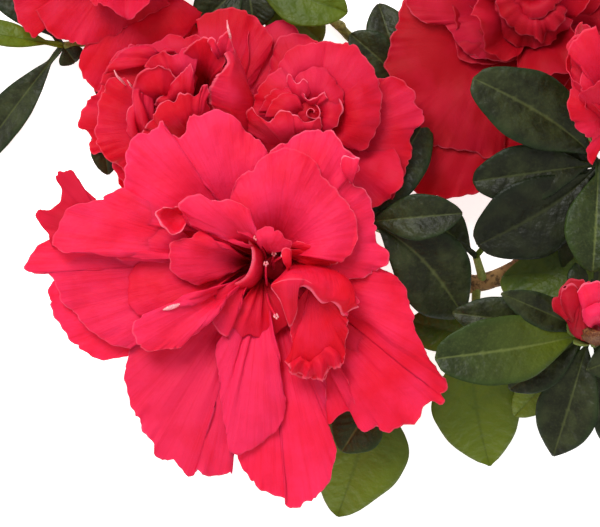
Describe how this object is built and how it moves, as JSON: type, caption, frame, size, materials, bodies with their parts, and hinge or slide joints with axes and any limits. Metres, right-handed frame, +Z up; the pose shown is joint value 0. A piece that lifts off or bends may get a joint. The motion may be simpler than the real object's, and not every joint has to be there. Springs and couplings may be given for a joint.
{
  "type": "cut azalea branch in bloom",
  "caption": "Cut woody branch of a double azalea lying on its back, with ruffled open blooms, a half-open bloom, a bud and whorls of oval leaves.",
  "frame": {"origin": "middle of the branch's bounding box, at the level of the floor that it lies on", "axes": "+X along the branch's longest way, towards the sawn end of the stem; +Y towards the two back blooms; +Z up, the way the blooms look"},
  "size_m": [0.174, 0.1442, 0.0532],
  "materials": {
    "petal": "soft matt petals, pinkish red with paler margins and a dark red throat",
    "leaf": "leathery satin dark green",
    "wood": "rough brown bark",
    "shoot": "downy green-brown young bark"
  },
  "bodies": {
    "root": {"main_stem": "wood", "bough_rose": "shoot", "bough_upper_left": "shoot", "bough_far_left": "shoot", "bough_top": "shoot", "bough_top_right": "shoot", "bough_right": "shoot", "bough_lower_right": "shoot", "bough_far_right": "shoot", "bough_bottom": "shoot", "bloom_front": "petal", "bloom_upper_left": "petal", "bloom_rose": "petal", "bloom_top_left": "petal", "bloom_top_right": "petal", "bloom_half_open": "petal", "bud": "petal", "leaves_right_upper": "leaf", "leaves_right_lower": "leaf", "leaves_far_right": "leaf", "leaves_middle": "leaf", "leaves_fork": "leaf", "leaves_lower": "leaf", "leaves_bottom": "leaf", "leaves_top_left": "leaf", "leaves_left": "leaf", "leaves_top": "leaf", "leaves_top_gap": "leaf"}
  },
  "joints": []
}
